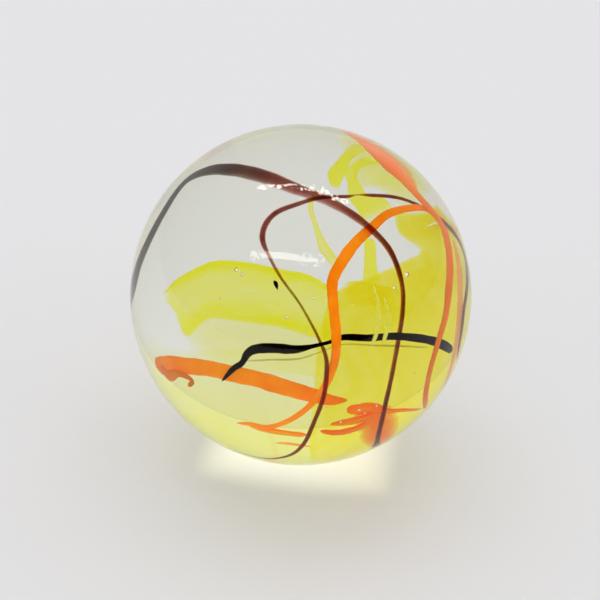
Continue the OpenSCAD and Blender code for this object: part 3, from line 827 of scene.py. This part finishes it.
pieces["yellow_heart"] = veil("folded_yellow_heart", [
    [[44, 38, 22], [58, 54, 10]], [[46, 31, 15], [60, 58, -10]],
    [[56, 28, 6], [76, 50, -14]], [[48, 24, 2], [76, 46, -22]],
    [[36, 20, -2], [76, 44, -28]], [[24, 14, -4], [76, 38, -36]],
    [[14, 12, -10], [74, 34, -44]], [[8, 6, -30], [66, 24, -60]],
    [[6, 0, -50], [56, 16, -72]], [[5, -10, -60], [46, 8, -80]],
    [[4, -16, -70], [30, -2, -87]], [[4, -12, -80], [12, -8, -91]],
], yellow, lift=6, thick=(0.34, 0.36, 0.44), rim_run=0.2, start=0.02, end=0.04, streaks=0.12, seed=5)
pieces["yellow_fold"] = veil("folded_yellow_fold", [
    [[22, -12, 16], [22, -14, 4]], [[30, -10, 16], [30, -14, 2]],
    [[38, -8, 12], [38, -10, -4]], [[44, -4, 8], [44, -8, -10]],
    [[50, 0, 2], [50, -2, -12]],
], yellow, lift=2, thick=(0.22, 0.16, 0.05), rim_run=0.3, start=0.15, end=0.3, streaks=0.3, seed=6)
pieces["yellow_tooth"] = veil("folded_yellow_tooth", [
    [[34, -4, 40], [38, -2, 38]], [[34, -8, 38], [40, -6, 36]],
    [[34, -12, 32], [40, -10, 28]], [[33, -14, 24], [41, -12, 22]],
    [[32, -15, 16], [41, -12, 14]],
], lemon, thick=(0.3, 0.28, 0.3), rim_run=0.3, start=0.1, end=0.3, seed=7)
pieces["yellow_curl"] = veil("folded_yellow_curl", [
    [[34, 64, 52], [38, 54, 54]], [[28, 44, 68], [32, 40, 64]],
    [[24, 32, 74], [28, 30, 70]], [[20, 20, 78], [26, 20, 72]],
    [[16, 12, 78], [24, 12, 72]], [[16, 6, 76], [22, 8, 70]],
    [[18, 0, 74], [22, 4, 70]],
], lemon, thick=(0.36, 0.3, 0.3), rim_run=0.3, start=0.08, end=0.25, streaks=0.15, seed=8)
pieces["yellow_inner_curl"] = veil("folded_yellow_inner_curl", [
    [[46, 56, 40], [46, 50, 42]], [[42, 50, 48], [42, 44, 50]],
    [[36, 44, 56], [36, 38, 56]], [[30, 36, 62], [31, 30, 60]],
    [[24, 26, 62], [30, 24, 60]], [[25, 18, 60], [32, 20, 58]],
    [[26, 10, 56], [36, 16, 54]], [[30, 6, 52], [44, 18, 50]],
    [[34, 0, 46], [50, 16, 42]],
], lemon, thick=(0.32, 0.27, 0.32), rim_run=0.3, start=0.1, end=0.12, streaks=0.2, seed=9)
pieces["yellow_wisp"] = veil("folded_yellow_wisp", [
    [[10, 2, 72], [12, 2, 72]], [[5, -4, 70], [8, -4, 70]],
    [[4, -10, 66], [7, -10, 66]], [[6, -16, 62], [9, -16, 62]],
    [[8, -20, 56], [11, -18, 56]], [[10, -24, 48], [15, -22, 50]],
    [[14, -26, 42], [19, -24, 44]], [[18, -28, 36], [23, -26, 38]],
], lemon, thick=(0.22, 0.15, 0.24), rim_run=0.3, start=0.3, end=0.15, streaks=0.3, seed=10)
pieces["yellow_wash"] = veil("folded_yellow_wash", [
    [[-70, 8, -28], [-74, 32, -40]], [[-60, 14, -38], [-70, 26, -54]],
    [[-46, 18, -42], [-62, 20, -66]], [[-32, 26, -46], [-48, 12, -78]],
    [[-16, 34, -50], [-34, 6, -86]], [[-4, 40, -54], [-18, 4, -90]],
    [[8, 48, -58], [4, 8, -92]],
], pale_yellow, lift=-4, thick=(0.12, 0.32, 0.62), rim_run=0.35, start=0.4, end=0.02, streaks=0.1,
    seed=11)
pieces["yellow_shoulder"] = veil("folded_yellow_shoulder", [
    [[16, 66, 40], [12, 84, 28]], [[24, 48, 42], [32, 84, 20]],
    [[26, 48, 28], [42, 82, 7]], [[32, 60, 14], [42, 82, -8]],
    [[40, 68, -6], [40, 82, -20]],
], pale_yellow, thick=(0.1, 0.3, 0.3), rim_run=0.3, start=0.3, end=0.3, seed=12)
print("veils:", ", ".join(name for name in pieces if "folded" in pieces[name].name))

# %% [markdown]
# ## Taking the solids' places
#
# Each drawn piece stands in for the solid of its name, which is hidden. Both aubergine glasses are
# made under the one name aubergine. Faces must point outwards, since light is absorbed only inside a
# closed skin, so the volume printed for each piece must be above nothing.

# %% Replace the solids
for node_name, piece in pieces.items():
    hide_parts(node_name)
    print(f"{piece.name}: {len(piece.data.polygons)} faces, {signed_volume(piece) / MM**3:.2f} mm3")


# %% [markdown]
# ## The ball
#
# The ball needs a much finer skin than the solid's, as clear glass shows every facet. The bubbles are
# trapped air. They belong to the same mesh: small spheres whose faces point into the bubble, so the
# glass ends at them and they bend light as real ones do. They have a wrinkled finish of their own.

# %% The ball
ball_rows, ball_columns = 192, 384
bubble_rows, bubble_columns = 12, 20


def sphere_rings(place, radius, rows, columns):
    """The rings of a sphere: at polar angle p and turn q the point is place + radius times
    (sin p cos q, sin p sin q, cos p). The two poles are left out."""
    p = np.linspace(0, np.pi, rows + 1)[1:-1, None]
    q = np.arange(columns)[None] * 2 * np.pi / columns
    level = np.cos(p) + np.zeros_like(q)
    return np.array(place) + radius * np.stack([np.sin(p) * np.cos(q), np.sin(p) * np.sin(q), level], -1)


def closed_sphere(rings, top, bottom, inward=False):
    """Points and faces of a sphere from its rings, with a fan of triangles round each pole. The two
    poles are the last two points."""
    n, columns, _ = rings.shape
    points = np.concatenate([rings.reshape(-1, 3), [top, bottom]])
    row, column = np.meshgrid(np.arange(n - 1) * columns, np.arange(columns), indexing="ij")
    after = (column + 1) % columns
    below = row + columns
    walls = np.stack([row + column, below + column, below + after, row + after], -1).reshape(-1, 4)
    turn = np.arange(columns)
    base = (n - 1) * columns
    upper = np.stack([np.full(columns, n * columns), turn, (turn + 1) % columns], 1)
    lower = np.stack([np.full(columns, n * columns + 1), base + (turn + 1) % columns, base + turn], 1)
    if inward:
        walls, upper, lower = walls[:, ::-1], upper[:, ::-1], lower[:, ::-1]
    return points, [walls, upper, lower]


def make_ball(bubbles):
    """The ball's skin and the skin of each bubble, which faces into the bubble. A bubble's middle is
    its heading times (the ball's radius times 1 less its share, less the skin)."""
    rings = sphere_rings((0, 0, 0), ball_r, ball_rows, ball_columns)
    points, faces = closed_sphere(rings, [0, 0, ball_r], [0, 0, -ball_r])
    all_points, all_faces = [points], [face for part in faces for face in part.tolist()]
    count, ball_faces = len(points), len(all_faces)
    for lon, lat, share, size in bubbles:
        place = heading(np.array([[lon, lat]], float))[0] * (ball_r * (1 - share) - skin_t)
        radius = size * bubble_d / 2
        rings = sphere_rings(place, radius, bubble_rows, bubble_columns)
        points, faces = closed_sphere(rings, place + [0, 0, radius], place - [0, 0, radius], inward=True)
        all_points.append(points)
        all_faces += [face for part in faces for face in (part + count).tolist()]
        count += len(points)
    mesh = bpy.data.meshes.new("polished_ball")
    mesh.from_pydata(np.concatenate(all_points).tolist(), [], all_faces)
    mesh.polygons.foreach_set("use_smooth", np.ones(len(mesh.polygons), bool))
    mesh.materials.append(clear)
    mesh.materials.append(bubble_wall)
    in_bubbles = np.arange(len(all_faces)) >= ball_faces
    mesh.polygons.foreach_set("material_index", in_bubbles.astype(np.int32))
    piece = bpy.data.objects.new("polished_ball", mesh)
    bpy.context.collection.objects.link(piece)
    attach(piece, "root")
    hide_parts("clear_ball")
    return piece


bubbles = [  # longitude, latitude, share of the radius below the skin, size share
    [-27, 40, 0.02, 0.8], [-24, 39, 0.02, 0.6], [-30, 30, 0.02, 0.5], [-5, 28, 0.02, 0.6],
    [5, 34, 0.02, 0.5], [47, 33, 0.10, 1], [39, 31, 0.10, 0.7], [19, -7, 0.02, 0.6],
    [25, -7, 0.02, 0.45], [8, -3, 0.02, 0.45], [39, 1, 0.02, 0.5], [13, -11, 0.02, 0.5],
    [17, -18, 0.02, 0.4], [21, -9, 0.02, 0.4],
]
ball = make_ball(bubbles)
print(f"ball: {len(ball.data.polygons)} faces, {signed_volume(ball) / MM**3:.0f} mm3")

# %% [markdown]
# ## Finish
#
# Light passes many thin sheets of coloured glass one behind another, so the render must follow it
# through many skins. Clamping and blurring of bright paths are off, or the bright patch that the ball
# throws on the table would vanish.

# %% View and render settings
scene = bpy.context.scene
scene.view_settings.view_transform = "Standard"
scene.cycles.transparent_max_bounces = 32
scene.cycles.blur_glossy = 0
scene.cycles.sample_clamp_indirect = 0
